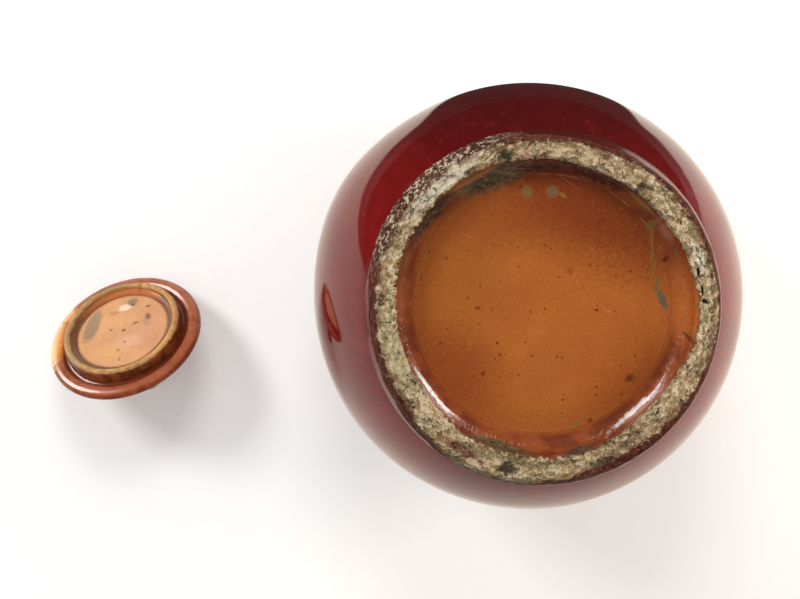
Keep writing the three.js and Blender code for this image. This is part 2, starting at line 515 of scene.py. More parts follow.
def radius_of(web, place):
    """Distance from the axis of the frame that a place is given in."""
    return web.group("Round the Axis", {"Vector": place})["Radius"]


def specks(web, place, scale, share, size):
    """Mask of scattered specks."""
    return web.group("Kiln Specks", {"Vector": place, "Scale": scale, "Share": share, "Size": size})["Mask"]


def along_ring(web, place, stretch):
    """Place stretched along the foot ring."""
    return web.group("Along the Ring", {"Vector": place, "Stretch": stretch})["Vector"]


def fired_grit(web, place):
    """Height, tone and specks of rough fired clay."""
    return web.group("Fired Grit", {"Vector": place, "Scale": 420.0})


def blot(web, place, x, y, length, width, degrees, edge, wander):
    """One oval mark, its place and half sizes in millimetres."""
    return web.group("Blot", {
        "Vector": web.stretched(place, (1.0, 1.0, 0.0)),
        "Place": (x * MM, y * MM, 0.0),
        "Turn": (0.0, 0.0, math.radians(degrees)),
        "Half Size": (length * MM, width * MM, 1.0),
        "Edge": edge,
        "Wander": wander,
    })["Mask"]


def marked(web, place, tone, marks):
    """A colour with oval marks on it: place, half sizes, turn, edge, wander, strength and tint of each."""
    for *oval, strength, tint in marks:
        tone = web.tint(tone, blot(web, place, *oval), strength, linear(*tint))
    return tone


JAR_FRAME = Matrix.Translation(JAR_AXIS)


def oxblood_glaze(finishes):
    """Deep copper red glaze, thick and glossy, brown where it breaks over an edge, with painted shade on the
    body's far side.
    """
    material, web, shader = new_material("oxblood_glaze")
    place = web.framed(JAR_FRAME)
    radius = radius_of(web, place)
    level = web.split(place)[2]
    runs = web.stretched(place, (1.0, 1.0, 0.22))
    red = finishes.oxblood
    uneven = web.window(web.clouds(runs, 42.0, 6.0, 0.6), 0.32, 0.7)
    tone = web.blend(uneven, toned(red, 0.72, 0.5, 0.6), red)
    # Painted shade: the blot named thick darkens the far side of the body, where less light falls.
    thick = blot(web, place, 10, 104, 95, 42, 0, 0.6, 0.3)
    tone = web.tint(tone, thick, 0.9, toned(red, 0.31, 0.5, 0.5))
    streaks = web.window(web.clouds(runs, 260.0, 4.0, 0.65), 0.5, 0.8, 0.0, 0.3)
    tone = web.blend(streaks, tone, toned(red, 1.5, 2.2, 2.0))
    fine = web.window(web.clouds(place, 1500.0, 3.0, 0.7), 0.45, 0.75, 0.0, 0.4)
    tone = web.blend(fine, tone, toned(red, 0.6, 0.5, 0.5))
    dark_dots = specks(web, place, 300.0, 0.07, 0.16)
    tone = web.tint(tone, dark_dots, 0.7, linear(28, 8, 8))
    pale_dots = specks(web, place, 210.0, 0.03, 0.1)
    tone = web.tint(tone, pale_dots, 0.45, linear(190, 120, 100))
    wander = web.swaying(place, 130.0, 4.0, 0.55, 9 * MM)
    ragged = web.plus(level, wander)
    near_foot = web.window(ragged, FOOT_ROOT_LEVEL - 4 * MM, FOOT_ROOT_LEVEL + 2 * MM)
    tone = web.tint(tone, near_foot, 0.35, linear(72, 22, 18))
    rim = web.window(web.plus(level, web.times(wander, 0.35)), 6 * MM, 1.5 * MM)
    inside = web.window(radius, 38 * MM, 36 * MM)
    thin = web.most(rim, web.times(inside, 0.6))
    tone = web.tint(tone, thin, 0.8, linear(186, 160, 128))
    gloss = web.between(web.clouds(place, 30.0), 0.04, 0.09)
    gloss = web.plus(gloss, web.times(near_foot, 0.2))
    rough = web.plus(gloss, web.times(dark_dots, 0.3))
    shader.inputs["IOR"].default_value = 1.5
    swell = web.group("Glaze Swell", {"Vector": place, "Scale": 26.0, "Rings": 0.12})["Height"]
    swell = web.minus(swell, web.times(dark_dots, 0.25))
    coat(web, shader, tone, rough, swell, 0.3 * MM)
    return material


def base_marks(web, place, tone):
    """Glaze drips, blobs and slashes on the base, as a colour and a height."""
    rim, olive, grey = linear(128, 92, 44), linear(104, 92, 56), linear(92, 88, 70)
    height = 0.0
    drops = (
        (-8.3, 54.5, 2.3, 2.7, 0, olive), (3.5, 54.6, 2.6, 2.4, 20, grey), (8.3, 53.0, 1.7, 0.8, -30, rim),
        (49.2, 39.2, 2.2, 1.6, 60, olive), (52.2, 41.2, 2.4, 0.5, 40, rim),
        (49.9, 33.5, 4.6, 0.45, 92, rim), (50.3, 25.3, 5.0, 0.4, 86, olive),
        (51.2, 18.1, 4.6, 0.45, 82, rim), (52.5, 11.6, 3.6, 0.7, 76, olive),
        (55.2, 5.0, 5.0, 1.7, -66, grey),
    )
    for x, y, length, width, degrees, tint in drops:
        halo = blot(web, place, x, y, length + 0.3, width + 0.3, degrees, 0.25, 0.9)
        tone = web.tint(tone, halo, 0.6, rim)
        mark = blot(web, place, x, y, length, width, degrees, 0.3, 0.9)
        tone = web.tint(tone, mark, 0.8, tint)
        height = web.plus(height, web.times(halo, 0.3))
    return tone, height


def base_pools(web, place, tone):
    """Murky pools of glaze that gathered in the corner of the base under the crust, and painted shade on the
    far part of the recess's wall.
    """
    pools = (
        (-24.0, 61.6, 19, 5.6, 21, (92, 82, 60)), (-30.5, 59.6, 9, 4.0, 27, (70, 62, 42)),
        (-53.6, 43.2, 18.0, 3.1, 51, (38, 35, 25)), (-20.5, -63.6, 20, 2.4, -18, (84, 78, 52)),
        (15.5, -65.4, 10.5, 1.3, 14, (62, 66, 64)), (-69.6, 11.0, 7.5, 1.0, 81, (58, 22, 18)),
        # The two pools on the next line are painted shade: a dark maroon band on the far part of the recess's
        # wall.
        (-4.0, 66.0, 14, 2.2, 3, (84, 40, 34)), (24.0, 61.0, 16, 2.2, -22, (96, 44, 30)),
        (-66.0, 22.0, 8, 0.9, 71, (96, 74, 36)),
    )
    murky = 0.0
    for *oval, tint in pools:
        pool = blot(web, place, *oval, 0.45, 1.5)
        tone = web.tint(tone, pool, 0.88, linear(*tint))
        murky = web.most(murky, pool)
    speckle = web.clouds(along_ring(web, place, 0.5), 620.0, 4.0, 0.75)
    dark, light = web.window(speckle, 0.48, 0.4), web.window(speckle, 0.56, 0.64)
    tone = web.tint(tone, web.times(dark, murky), 0.8, linear(34, 28, 20))
    return web.tint(tone, web.times(light, murky), 0.5, linear(150, 132, 98))


def amber_base_glaze(finishes):
    """Amber glaze of the base, mottled, finely turned and pinholed, red brown towards its edge, with painted
    shade on its far part and in its cove and painted highlights along the cove.
    """
    material, web, shader = new_material("amber_base_glaze")
    place = web.framed(JAR_FRAME)
    recess_place = web.framed(Matrix.Translation(JAR_AXIS + RECESS_OFFSET))
    radius = radius_of(web, recess_place)
    level = web.split(place)[2]
    amber = finishes.amber
    broad = web.window(web.clouds(place, 24.0, 4.0, 0.55, 0.3), 0.32, 0.68)
    tone = web.blend(broad, toned(amber, 0.88, 0.82, 0.86), amber)
    tone = marked(web, place, tone, (
        (-46, 24, 22, 32, 0, 0.7, 0.5, 0.6, (144, 84, 34)),
        (-42, -28, 22, 17, -40, 0.7, 0.6, 0.7, (122, 54, 26)),
        (38, -36, 20, 16, 30, 0.7, 0.6, 0.5, (144, 70, 30)),
        (-4, -60, 36, 8, 0, 0.6, 0.6, 0.7, (176, 102, 50)),
        (61, 4, 9, 26, 0, 0.6, 0.5, 0.9, (206, 116, 54)),
        (-20, 40, 18, 12, 20, 0.7, 0.6, 0.5, (136, 72, 34)),
    ))
    edge = web.window(web.plus(radius, web.times(broad, 5 * MM)), 46 * MM, 62 * MM)
    tone = web.tint(tone, edge, 0.4, linear(124, 60, 27))
    # Painted shadow: the far part of the recess is darkened where the ring's wall shades it.
    painted_wall_shadow = blot(web, place, 20, 50, 46, 21, -32, 0.7, 0.8)
    tone = web.tint(tone, painted_wall_shadow, 0.9, linear(102, 42, 18))
    grain = web.clouds(place, 1100.0, 4.0, 0.7)
    tone = web.blend(web.window(grain, 0.4, 0.65, 0.0, 0.3), tone, toned(amber, 0.42, 0.3, 0.28))
    light = web.window(web.clouds(place, 700.0, 4.0, 0.7), 0.5, 0.75, 0.0, 0.26)
    tone = web.blend(light, tone, toned(amber, 1.3, 1.4, 1.45))
    circle = web.add("ShaderNodeCombineXYZ", {0: radius}).outputs[0]
    rings = web.clouds(circle, 900.0, 3.0, 0.6)
    breaks = web.window(web.clouds(place, 55.0, 3.0), 0.48, 0.62)
    turning = web.times(web.times(web.window(rings, 0.55, 0.68), breaks), 0.26)
    tone = web.blend(turning, tone, toned(amber, 1.25, 1.2, 1.2))
    crazing = web.group("Crazing", {"Vector": place, "Scale": 520.0, "Width": 0.05})["Mask"]
    tone = web.tint(tone, crazing, 0.12, linear(92, 40, 18))
    scratches = {"Vector": web.stretched(place, (1.0, 1.0, 0.0), 0.6), "Scale": 420.0, "Share": 0.014}
    hairlines = web.group("Hairlines", scratches)["Mask"]
    tone = web.tint(tone, hairlines, 0.14, linear(214, 138, 84))
    cluster = web.window(web.clouds(place, 40.0, 2.0), 0.42, 0.58, 0.35, 1.0)
    pinholes = web.times(specks(web, place, 330.0, 0.34, 0.3), cluster)
    pits = specks(web, place, 130.0, 0.3, 0.13)
    spots = web.most(web.times(pinholes, 0.7), web.times(pits, 0.9))
    tone = web.blend(spots, tone, linear(54, 22, 11))
    # Painted shade: the cove's corner is darkened as if shaded by the recess's wall, except on the right part
    # of the wall under the blot named bright.
    corner = web.window(web.plus(radius, web.times(broad, 1.5 * MM)), 60.6 * MM, 63.5 * MM)
    bright = blot(web, place, 66, 6, 9, 22, 8, 0.5, 0.5)
    mottled = web.window(web.clouds(place, 70.0, 3.0), 0.4, 0.6)
    shade = web.blend(mottled, linear(92, 36, 26), linear(134, 66, 36))
    tone = web.tint(tone, web.times(corner, 0.75), web.minus(1.0, bright), shade)
    # Painted highlight: a pale line along the ridge at the edge of the floor, on the far side only.
    tool = web.times(web.window(radius, 60.2 * MM, 60.7 * MM), web.window(radius, 61.4 * MM, 60.9 * MM))
    far_side = blot(web, place, 10, 62, 62, 30, -8, 0.3, 0.3)
    tone = web.tint(tone, web.times(tool, far_side), web.times(breaks, 0.4), linear(190, 122, 92))
    tone, drops = base_marks(web, place, tone)
    tone = base_pools(web, place, tone)
    tone = marked(web, place, tone, (
        (44.8, 49.0, 8, 0.8, -42, 0.4, 1.0, 0.7, (128, 104, 46)),
        # The entry at (55.6, 36.4) is a painted highlight on the glaze beside the crust.
        (55.6, 36.4, 4, 1.7, -56, 0.5, 1.4, 0.5, (164, 108, 88)),
        (-33.5, 60.6, 13, 1.1, 29, 0.5, 1.2, 0.7, (158, 96, 50)),
        (67.2, -14.4, 5.4, 0.7, -62, 0.3, 0.9, 0.85, (78, 56, 32)),
        (16.5, -53.0, 5.2, 0.7, 42, 0.3, 0.9, 0.7, (118, 96, 48)),
        (22.4, -52.2, 1.2, 1.0, 20, 0.5, 1.6, 0.7, (70, 40, 20)),
        (40.9, -32.3, 2.4, 1.6, 20, 0.6, 2.4, 0.7, (66, 28, 15)),
        (56.2, 23.5, 1.5, 1.0, 40, 0.5, 2.2, 0.8, (70, 22, 12)),
        (12.2, 17.9, 1.3, 2.0, 20, 0.6, 2.4, 0.5, (108, 50, 22)),
        # The entry at (-4, 42) is painted shade on the far part of the floor.
        (-4, 42, 32, 13, 0, 0.9, 0.6, 0.45, (122, 56, 26)),
        # The two pale streaks that follow are painted highlights along the cove, beside the crust's inner
        # edge.
        (-52.3, -37.8, 14, 0.8, -54, 0.5, 2.6, 0.75, (226, 214, 200)),
        (42.4, -47.3, 14, 0.8, 42, 0.5, 2.6, 0.75, (222, 214, 208)),
        (-31, 1, 1.2, 0.9, 20, 0.5, 2.4, 0.6, (70, 30, 15)),
        (-28, -30, 1.5, 0.9, 60, 0.5, 2.4, 0.6, (78, 34, 17)),
    ))
    rough = web.maths("MULTIPLY_ADD", pinholes, 0.4, web.between(grain, 0.1, 0.2))
    shader.inputs["IOR"].default_value = 1.5
    height = web.maths("MULTIPLY_ADD", rings, 0.3, web.times(grain, 0.25))
    height = web.minus(height, web.times(web.most(pinholes, pits), 0.7))
    on_cove = web.window(level, BASE_LEVEL + 0.5 * MM, BASE_LEVEL + 2 * MM)
    pitted = web.times(web.window(web.clouds(place, 520.0, 3.0, 0.6), 0.5, 0.62), on_cove)
    height = web.plus(web.plus(height, drops), web.times(pitted, 0.8))
    coat(web, shader, tone, rough, height, 0.12 * MM)
    return material


def kiln_crust(finishes):
    """Buff flakes of kiln grit on the foot ring, cracked and stained, with maroon glaze round them, and
    painted shade in the hollows of its relief and along its inner edge.
    """
    material, web, shader = new_material("kiln_crust")
    place = web.framed(JAR_FRAME)
    relief = web.attribute("relief")
    along = along_ring(web, place, 0.55)
    grit = fired_grit(web, place)
    pale = finishes.crust
    flakes = web.clouds(along, 440.0, 6.0, 0.72, 0.4)
    tone = web.blend(web.window(flakes, 0.455, 0.53), linear(146, 126, 88), pale)
    brown = web.window(web.clouds(along, 230.0, 6.0, 0.72), 0.5, 0.56)
    tone = web.tint(tone, brown, 0.65, linear(132, 100, 66))
    olive = web.window(web.clouds(place, 190.0, 6.0, 0.72), 0.53, 0.58)
    tone = web.tint(tone, olive, 0.6, linear(100, 90, 58))
    white = web.window(web.clouds(along, 560.0, 6.0, 0.75, 0.3), 0.53, 0.59)
    tone = web.tint(tone, white, 0.7, toned(pale, 1.42, 1.5, 1.6))
    tone = marked(web, place, tone, (
        (69.0, 25.5, 7, 2.2, 110, 0.5, 1.6, 0.7, (216, 210, 190)),
        (-48.5, 57.5, 24, 3.4, 40, 0.5, 1.6, 0.6, (206, 200, 178)),
        (-33.5, 61.6, 13, 1.4, 29, 0.4, 1.6, 0.8, (160, 108, 70)),
        (-14.0, 69.0, 12, 2.4, 10, 0.5, 1.8, 0.6, (124, 84, 60)),
        (-20.7, -66.8, 21, 2.0, -18, 0.4, 2.4, 0.5, (100, 88, 56)),
        (-40.0, -62.5, 11, 1.8, -33, 0.5, 2.2, 0.8, (104, 44, 34)),
        (38.0, -64.0, 22, 6.0, 31, 0.5, 1.8, 0.3, (122, 90, 60)),
        (66.5, 36.0, 5, 2.4, 119, 0.5, 2.0, 0.7, (96, 84, 50)),
        (-70.0, -18.0, 18, 4, 106, 0.5, 1.6, 0.35, (168, 168, 130)),
        (22.0, -62.0, 10, 2.2, 22, 0.5, 1.8, 0.7, (112, 70, 50)),
    ))
    tone = web.tint(tone, grit["Light"], 0.35, toned(pale, 1.35, 1.4, 1.45))
    edge = web.attribute("past_edge")
    rusty = web.window(web.clouds(along, 300.0, 6.0, 0.75), 0.55, 0.47)
    rusty = web.times(rusty, web.window(edge, -6 * MM, 0.5 * MM))
    tone = web.tint(tone, rusty, 0.85, linear(96, 62, 40))
    # Painted shade: a dark brown line along the crust's inner edge, where it overhangs the glaze.
    inner = web.times(web.clouds(place, 420.0, 5.0, 0.7), 2.2 * MM)
    inner = web.window(web.minus(web.attribute("to_inner"), inner), 0.0, -0.8 * MM)
    tone = web.tint(tone, inner, 0.8, linear(98, 50, 30))
    creases = web.maths("ABSOLUTE", web.minus(web.clouds(along, 240.0, 5.0, 0.66, 0.8), 0.5))
    broken = web.window(web.clouds(place, 90.0, 3.0), 0.44, 0.54)
    cracks = web.times(web.window(creases, 0.03, 0.008), broken)
    dark = web.window(web.clouds(place, 620.0, 4.0, 0.74), 0.44, 0.39)
    clumps = web.window(web.clouds(place, 110.0, 4.0, 0.6), 0.46, 0.6, 0.35, 1.0)
    # Painted shade in the low parts of the crust's relief, added to the dark cracks and clumps, which are
    # stains of the crust.
    low = web.window(web.maths("MULTIPLY_ADD", grit["Height"], 0.25, relief), 0.52, 0.3)
    stains_and_hollow_shade = web.most(web.times(cracks, 0.9), web.times(web.times(dark, clumps), 0.9), web.times(low, 0.8))
    tone = web.blend(stains_and_hollow_shade, tone, linear(46, 32, 20))
    # Painted shade in the deepest cracks and pits of the relief.
    tone = web.blend(web.window(relief, 0.22, 0.05), tone, linear(24, 18, 12))
    tone = marked(web, place, tone, (
        (-19.8, 71.0, 3.8, 2.4, 20, 0.4, 2.4, 0.9, (44, 40, 30)),
        (-35.0, 64.6, 4.6, 0.9, 30, 0.5, 2.4, 0.8, (54, 46, 34)),
        (26.1, -70.3, 6.5, 3.0, 20, 0.5, 2.2, 0.8, (48, 38, 26)),
        (-17.5, -72.4, 4.6, 2.6, -12, 0.4, 2.2, 0.9, (44, 34, 26)),
        (42.0, 57.0, 1.6, 3.4, -38, 0.5, 2.4, 0.85, (50, 42, 30)),
        (46.0, 56.0, 1.8, 1.2, -38, 0.5, 2.4, 0.8, (50, 48, 40)),
        (36.0, -61.5, 3.5, 1.6, 32, 0.6, 2.4, 0.7, (60, 46, 30)),
        (5.5, -69.5, 9, 1.4, 4, 0.5, 2.4, 0.6, (70, 56, 36)),
    ))
    ragged = web.swaying(place, 240.0, 6.0, 0.75, 7 * MM)
    glaze = web.window(web.plus(edge, ragged), -0.5 * MM, 0.4 * MM)
    grains = web.clouds(place, 430.0, 6.0, 0.75)
    band = web.blend(web.window(grains, 0.4, 0.6), linear(54, 17, 12), linear(98, 44, 30))
    soot = web.window(web.clouds(place, 700.0, 4.0, 0.7), 0.48, 0.4)
    band = web.tint(band, soot, 0.85, linear(34, 24, 16))
    tone = web.tint(tone, glaze, 0.92, band)
    far_left = blot(web, place, -54, 62, 46, 24, 49, 0.4, 0.4)
    gritty = web.between(far_left, web.window(grains, 0.6, 0.66), web.window(grains, 0.53, 0.57))
    tone = web.tint(tone, web.times(gritty, glaze), web.between(far_left, 0.6, 0.92), linear(206, 194, 166))
    shader.inputs["Specular IOR Level"].default_value = 0.12
    height = web.minus(grit["Height"], web.times(cracks, 0.5))
    coat(web, shader, tone, web.between(glaze, 0.9, 0.75), height, 0.45 * MM)
    return material


def lid_glaze(finishes, place_of_lid):
    """Red brown glaze of the lid, with a painted highlight along the top of its bead, worn pale on one side of
    the brim and partly painted there as a glow of light.
    """
    material, web, shader = new_material("lid_glaze")
    place = web.framed(place_of_lid)
    radius = radius_of(web, place)
    height = web.split(place)[2]
    base = finishes.lid_glaze
    cloud = web.clouds(place, 85.0, 6.0, 0.62, 0.5)
    tone = web.blend(web.window(cloud, 0.35, 0.62), toned(base, 0.6, 0.5, 0.48), base)
    streaks = web.clouds(web.stretched(place, (1.0, 1.0, 0.2)), 300.0, 4.0, 0.65)
    tone = web.blend(web.window(streaks, 0.5, 0.75, 0.0, 0.4), tone, linear(190, 106, 66))
    under = web.window(height, -3 * MM, -9 * MM)
    tone = web.tint(tone, under, 0.75, linear(176, 82, 42))
    upper = web.window(height, -4 * MM, -2 * MM)
    # Painted highlight: a lighter line along the top of the bead.
    crest_highlight = web.times(web.window(height, 0.2 * MM, 1.1 * MM), web.window(cloud, 0.3, 0.6, 0.3, 0.8))
    tone = web.blend(crest_highlight, tone, linear(172, 100, 70))
    groove = web.times(web.window(radius, 38.4 * MM, 36.6 * MM), upper)
    tone = web.tint(tone, groove, 0.85, linear(108, 44, 20))
    # Worn pale glaze on one side of the brim, partly painted light: it turns nearly white towards the brim's
    # outer edge as a painted glow.
    for x, y, length, width, degrees, strength in ((41.5, -8, 6.0, 21, -8, 1.0), (34, -27, 5, 10, 40, 0.8)):
        worn = blot(web, place, x, y, length, width, degrees, 0.4, 1.1)
        outward = web.window(web.plus(radius, web.times(cloud, 6 * MM)), 40 * MM, 48 * MM)
        ochre_and_glow = web.blend(outward, linear(226, 134, 62), linear(252, 216, 158))
        tone = web.tint(tone, web.times(worn, upper), strength, ochre_and_glow)
    dots = specks(web, place, 420.0, 0.3, 0.22)
    tone = web.tint(tone, dots, 0.6, linear(54, 20, 10))
    pale_dots = specks(web, place, 380.0, 0.12, 0.2)
    tone = web.tint(tone, pale_dots, 0.6, linear(216, 152, 110))
    swell = web.group("Glaze Swell", {"Vector": place, "Scale": 90.0, "Rings": 0.1})["Height"]
    swell = web.minus(swell, web.times(dots, 0.4))
    coat(web, shader, tone, web.between(cloud, 0.12, 0.28), swell, 0.35 * MM)
    return material


def worn_collar(finishes, place_of_lid):
    """Worn bare rim of the lid's collar, with glaze left on its walls and painted light and shade on its inner
    wall.
    """
    material, web, shader = new_material("worn_collar")
    place = web.framed(place_of_lid)
    height = web.split(place)[2]
    radius = radius_of(web, place)
    grit = fired_grit(web, place)
    collar = finishes.collar
    tone = web.blend(web.window(grit["Tone"], 0.36, 0.64), toned(collar, 0.62, 0.56, 0.5), collar)
    tone = marked(web, place, tone, (
        (8, -31, 22, 4, 8, 0.6, 0.9, 0.55, (138, 116, 66)),
        (28, 17, 5, 12, -32, 0.6, 1.0, 0.6, (140, 124, 96)),
        (32, -8, 3, 16, 0, 0.6, 1.0, 0.6, (146, 120, 76)),
        (-22, 24, 14, 5, 47, 0.6, 0.9, 0.6, (226, 170, 98)),
        (-32, 0, 4, 12, 0, 0.6, 0.9, 0.5, (188, 122, 74)),
    ))
    ragged = web.swaying(place, 240.0, 5.0, 0.65, 3 * MM)
    wall = web.window(web.plus(height, ragged), 7.4 * MM, 6.6 * MM)
    inner = web.window(radius, 32.2 * MM, 31.2 * MM)
    # Painted light and shade on the collar's inner wall: dark where it lies in shade, lighter on the side
    # where light falls.
    lit_inner_wall = blot(web, place, -8, -26, 26, 12, 10, 0.5, 0.5)
    inside = web.blend(lit_inner_wall, linear(104, 60, 32), linear(190, 108, 58))
    patches = web.window(web.clouds(place, 160.0, 5.0), 0.4, 0.62)
    outside = web.blend(patches, linear(110, 44, 20), linear(158, 80, 42))
    tone = web.tint(tone, wall, 0.92, web.blend(inner, outside, inside))
    coat(web, shader, tone, web.between(wall, 0.55, 0.25), grit["Height"], 0.18 * MM)
    return material


def bare_disc(finishes, place_of_lid):
    """Bare tan clay inside the lid's collar, with kiln marks."""
    material, web, shader = new_material("bare_disc")
    place = web.framed(place_of_lid)
    radius = radius_of(web, place)
    grit = fired_grit(web, place)
    disc = finishes.disc
    patches = web.window(web.clouds(place, 60.0, 5.0, 0.6), 0.35, 0.65)
    tone = web.blend(patches, toned(disc, 0.88, 0.84, 0.9), disc)
    tone = web.tint(tone, grit["Light"], 0.3, toned(disc, 1.12, 1.2, 1.3))
    tone = web.tint(tone, grit["Dark"], 0.22, toned(disc, 0.6, 0.5, 0.45))
    tone = marked(web, place, tone, (
        (18.6, -8.4, 12.5, 5.0, 70, 0.3, 0.9, 0.6, (190, 138, 74)),
        (17.7, -9.2, 11.3, 4.0, 70, 0.3, 0.7, 0.85, (136, 114, 90)),
        (4.2, -15.3, 3.4, 1.6, 0, 0.6, 1.2, 0.5, (164, 108, 68)),
        (-2.2, -17.6, 4.0, 2.4, 0, 0.4, 0.8, 0.8, (240, 216, 192)),
        (-6.5, -20.6, 3.4, 2.4, 10, 0.3, 0.7, 0.85, (124, 108, 78)),
        (-6.8, -18.0, 1.2, 0.9, 0, 0.4, 0.8, 0.85, (50, 40, 30)),
        (-15.6, -14.4, 1.3, 0.9, 0, 0.4, 1.2, 0.85, (90, 66, 50)),
        (-15.3, -5.8, 1.6, 2.2, 20, 0.5, 2.4, 0.85, (74, 50, 36)),
        (-14.6, -1.8, 2.0, 3.6, 20, 0.6, 1.4, 0.5, (140, 112, 92)),
        (-7.8, -3.4, 1.7, 0.9, 0, 0.5, 2.2, 0.8, (110, 64, 40)),
        (-15.8, 3.2, 11, 4.5, 52, 0.8, 1.2, 0.4, (214, 150, 122)),
        (6.7, -2.5, 0.8, 0.8, 0, 0.5, 1.2, 0.85, (80, 36, 22)),
        (-0.6, 0.0, 1.1, 0.9, 0, 0.5, 2.0, 0.85, (84, 42, 26)),
        (-4.5, 9.1, 7.0, 4.0, 0, 0.7, 0.9, 0.5, (220, 172, 146)),
        (-16, 11, 6.0, 7.0, 0, 0.7, 0.9, 0.45, (190, 126, 96)),
        (9.0, 14.0, 6.0, 4.0, 0, 0.7, 0.9, 0.45, (212, 158, 88)),
        (-0.9, 9.3, 0.9, 0.9, 0, 0.5, 1.2, 0.7, (120, 72, 50)),
        (2.8, 14.2, 0.9, 0.9, 0, 0.5, 1.2, 0.7, (140, 90, 56)),
        (2.6, 21.0, 0.8, 1.4, 0, 0.5, 1.2, 0.7, (140, 90, 56)),
    ))
    edge = web.window(radius, 25.4 * MM, 26.8 * MM)
    tone = web.tint(tone, edge, 0.75, linear(124, 58, 34))
    dots = specks(web, place, 520.0, 0.12, 0.2)
    tone = web.tint(tone, dots, 0.6, linear(120, 66, 44))
    height = web.minus(grit["Height"], web.times(dots, 0.3))
    coat(web, shader, tone, web.between(grit["Tone"], 0.4, 0.6), height, 0.14 * MM)
    return material


def half_height(radius, rise):
    """Half height of an ellipse through the belly that has a radius at a rise."""
    return rise / math.sqrt(1 - (radius / BELLY_RADIUS) ** 2)


def angle_at(radius, half_r):
    """Angle on an ellipse where it has a radius, in degrees."""
    return math.degrees(math.acos(radius / half_r))


def eased(share):
    """A share from 0 to 1 that starts and ends gently."""
    share = max(0.0, min(1.0, share))
    return share * share * (3 - 2 * share)


def off_axis(angle):
    """How much further from the jar's axis the recess's wall stands at a turn."""
    return RECESS_OFFSET.x * math.cos(angle) + RECESS_OFFSET.y * math.sin(angle)


# Turn round the foot in degrees, anticlockwise from +X, and how far up the ring's wall the body's glaze
# climbs there, in millimetres
GLAZE_CLIMB = (
    (0, 2.5), (35, 4.0), (58, 9.0), (78, 9.5), (92, 6.5), (104, 1.2), (165, 1.2), (182, 5.0), (208, 5.5),
    (224, 2.5), (238, 1.0), (272, 1.0), (292, 2.0), (340, 2.0),
)

# The same turns' measure for the grit that spreads from the ring's wall onto the body
GRIT_SPREAD = (
    (0, 0), (90, 0), (112, 1.3), (135, 1.9), (152, 1.7), (172, 0),
    (225, 0), (240, 0.5), (262, 0.5), (275, 0),
)


def turn_between(start, angle):
    """Turn from one angle to another, at most half a turn either way."""
    return (angle - start + math.pi) % (2 * math.pi) - math.pi


def ragged_round(angle, *waves):
    """Distance that wanders round the ring, from each wave's frequency and height in millimetres."""
    around = Vector((math.cos(angle), math.sin(angle), 0.0))
    return sum(noise.noise(around * frequency) * height for frequency, height in waves) * MM


def round_the_ring(table, degrees):
    """Measures of a table at a turn, in metres, eased between the listed turns."""
    degrees %= 360
    turns = table + ((360,) + table[0][1:],)
    for start, end in zip(turns, turns[1:]):
        if degrees <= end[0]:
            share = eased((degrees - start[0]) / (end[0] - start[0]))
            return [(first + (last - first) * share) * MM for first, last in zip(start[1:], end[1:])]


# Thickness of the glaze that climbs the ring's wall, in how many steps it is drawn, and how far its
# edge is tucked in under the crust
CLIMB_THICKNESS = 0.35 * MM
CLIMB_STEPS = 8
CLIMB_TUCK = 1.6 * MM


